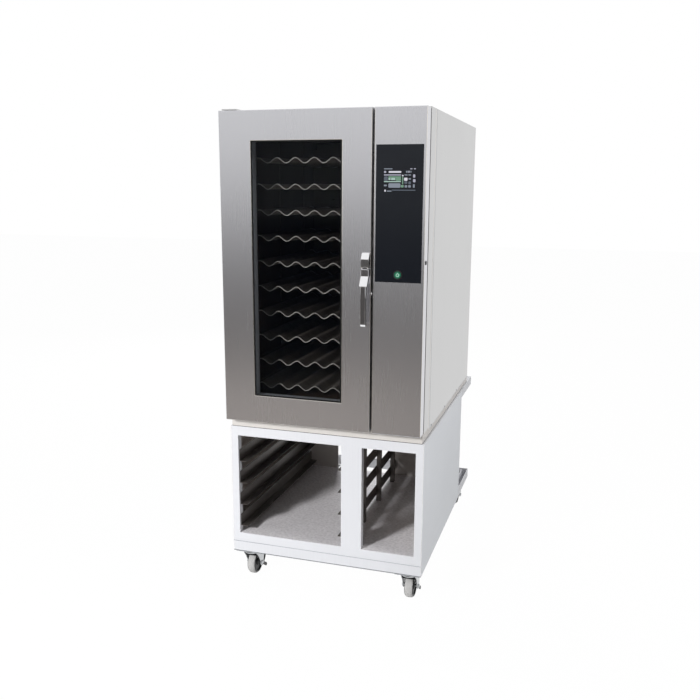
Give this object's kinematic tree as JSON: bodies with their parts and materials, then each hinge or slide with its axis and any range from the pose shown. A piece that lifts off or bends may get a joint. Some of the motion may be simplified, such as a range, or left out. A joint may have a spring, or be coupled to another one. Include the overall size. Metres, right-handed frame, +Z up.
{
  "type": "convection oven",
  "caption": "Tall stainless convection oven with a glazed side-hinged door, touch control column, tray racks and fans, on a wheeled stand with tray runners.",
  "frame": {"origin": "on the floor, under the middle of the whole object's box", "axes": "+Z up, -Y towards the user in front of the door, +X to the user's right"},
  "size_m": [0.812, 1.28, 1.936],
  "materials": {
    "stainless_brushed": "fine vertical brushing",
    "stainless_pale": "satin",
    "stainless_cavity": "smooth, heat tinted",
    "chrome": "polished",
    "zinc_plated": "bright zinc",
    "galvanised": "galvanised sheet",
    "castor_black": "black enamel",
    "wheel_grey": "matte",
    "overlay_black": "gloss",
    "button_green": "gloss",
    "plastic_dark": "matte",
    "board_green": "solder mask",
    "glass_clear": "clear",
    "silicone_black": "matte",
    "tray_aluminium": "satin",
    "motor_aluminium": "cast",
    "mineral_wool": "fibrous",
    "brass": "machined"
  },
  "bodies": {
    "oven_body": {"control_fascia": "stainless_brushed", "left_side_panel": "stainless_brushed", "right_side_panel": "stainless_brushed", "top_panel": "stainless_brushed", "face_frame": "stainless_brushed", "hinge_plates": "stainless_brushed", "base_chassis": "stainless_brushed", "rear_panel": "stainless_brushed", "latch_keeper": "stainless_brushed", "panel_screws": "stainless_brushed", "power_switch_body": "stainless_brushed", "stand_top_frame": "stainless_pale", "stand_base_frame": "stainless_pale", "stand_posts": "stainless_pale", "stand_center_post": "stainless_pale", "stand_base_shelf": "stainless_pale", "stand_side_panels": "stainless_pale", "stand_back_panel": "stainless_pale", "stand_runners": "stainless_pale", "stand_rack_uprights": "stainless_pale", "cavity_liner": "stainless_cavity", "fan_baffle": "stainless_cavity", "tray_racks": "stainless_cavity", "vent_pipe": "stainless_cavity", "heater_elements": "stainless_cavity", "castor_plates": "zinc_plated", "inner_bulkheads": "galvanised", "control_overlay": "overlay_black", "touch_screen": "overlay_black", "contactors": "plastic_dark", "cable_gland": "plastic_dark", "control_board": "board_green", "door_gasket": "silicone_black", "baking_trays": "tray_aluminium", "fan_motors": "motor_aluminium", "insulation": "mineral_wool", "steam_injector": "brass"},
    "door": {"door_shell": "stainless_brushed", "door_inner_panel": "stainless_cavity", "outer_glass": "glass_clear", "inner_glass": "glass_clear", "window_spacer": "stainless_cavity", "window_seal": "silicone_black", "hinge_blocks": "stainless_brushed", "handle_housing": "chrome"},
    "handle_lever": {"handle_lever": "chrome"},
    "latch_bolt": {"latch_bolt": "chrome"},
    "power_button": {"power_button": "button_green"},
    "fan_lower": {"fan_wheel_lower": "stainless_cavity"},
    "fan_upper": {"fan_wheel_upper": "stainless_cavity"},
    "castor_front_left": {"castor_fork_front_left": "zinc_plated"},
    "wheel_front_left": {"castor_wheel_front_left": "wheel_grey"},
    "brake_front_left": {"castor_brake_front_left": "castor_black"},
    "castor_front_right": {"castor_fork_front_right": "zinc_plated"},
    "wheel_front_right": {"castor_wheel_front_right": "wheel_grey"},
    "brake_front_right": {"castor_brake_front_right": "castor_black"},
    "castor_rear_left": {"castor_fork_rear_left": "zinc_plated"},
    "wheel_rear_left": {"castor_wheel_rear_left": "wheel_grey"},
    "castor_rear_right": {"castor_fork_rear_right": "zinc_plated"},
    "wheel_rear_right": {"castor_wheel_rear_right": "wheel_grey"}
  },
  "joints": [
    {"name": "door_hinge", "type": "hinge", "parent": "oven_body", "child": "door", "pos_m": [-0.388, -0.551, 1.323], "axis": [0, 0, -1], "range_deg": [0, 120]},
    {"name": "handle_pivot", "type": "hinge", "parent": "door", "child": "handle_lever", "pos_m": [0.184, -0.611, 1.364], "axis": [-1, 0, 0], "range_deg": [0, 30]},
    {"name": "latch_slide", "type": "slide", "parent": "door", "child": "latch_bolt", "axis": [-1, 0, 0], "range_m": [0, 0.008]},
    {"name": "power_button_press", "type": "slide", "parent": "oven_body", "child": "power_button", "axis": [0, 1, 0], "range_m": [0, 0.0025], "stiffness_N_per_m": 800},
    {"name": "fan_lower_spin", "type": "hinge", "parent": "oven_body", "child": "fan_lower", "pos_m": [-0.1, 0.25, 1.06575], "axis": [0, 1, 0], "continuous": true},
    {"name": "fan_upper_spin", "type": "hinge", "parent": "oven_body", "child": "fan_upper", "pos_m": [-0.1, 0.25, 1.59325], "axis": [0, 1, 0], "continuous": true},
    {"name": "castor_front_left_swivel", "type": "hinge", "parent": "oven_body", "child": "castor_front_left", "pos_m": [-0.347, -0.488, 0.12], "axis": [0, 0, 1], "continuous": true},
    {"name": "wheel_front_left_roll", "type": "hinge", "parent": "castor_front_left", "child": "wheel_front_left", "pos_m": [-0.347, -0.456, 0.05], "axis": [1, 0, 0], "continuous": true},
    {"name": "brake_front_left_press", "type": "hinge", "parent": "castor_front_left", "child": "brake_front_left", "pos_m": [-0.347, -0.40875, 0.01813], "axis": [-1, 0, 0], "range_deg": [0, 18], "stiffness_Nm_per_rad": 5},
    {"name": "castor_front_right_swivel", "type": "hinge", "parent": "oven_body", "child": "castor_front_right", "pos_m": [0.347, -0.488, 0.12], "axis": [0, 0, 1], "continuous": true},
    {"name": "wheel_front_right_roll", "type": "hinge", "parent": "castor_front_right", "child": "wheel_front_right", "pos_m": [0.347, -0.456, 0.05], "axis": [1, 0, 0], "continuous": true},
    {"name": "brake_front_right_press", "type": "hinge", "parent": "castor_front_right", "child": "brake_front_right", "pos_m": [0.347, -0.40875, 0.01813], "axis": [-1, 0, 0], "range_deg": [0, 18], "stiffness_Nm_per_rad": 5},
    {"name": "castor_rear_left_swivel", "type": "hinge", "parent": "oven_body", "child": "castor_rear_left", "pos_m": [-0.347, 0.553, 0.12], "axis": [0, 0, 1], "continuous": true},
    {"name": "wheel_rear_left_roll", "type": "hinge", "parent": "castor_rear_left", "child": "wheel_rear_left", "pos_m": [-0.347, 0.585, 0.05], "axis": [1, 0, 0], "continuous": true},
    {"name": "castor_rear_right_swivel", "type": "hinge", "parent": "oven_body", "child": "castor_rear_right", "pos_m": [0.347, 0.553, 0.12], "axis": [0, 0, 1], "continuous": true},
    {"name": "wheel_rear_right_roll", "type": "hinge", "parent": "castor_rear_right", "child": "wheel_rear_right", "pos_m": [0.347, 0.585, 0.05], "axis": [1, 0, 0], "continuous": true}
  ],
  "couplings": [
    {"joint": "latch_slide", "follows": "handle_pivot", "m_per_rad": 0.0152}
  ]
}
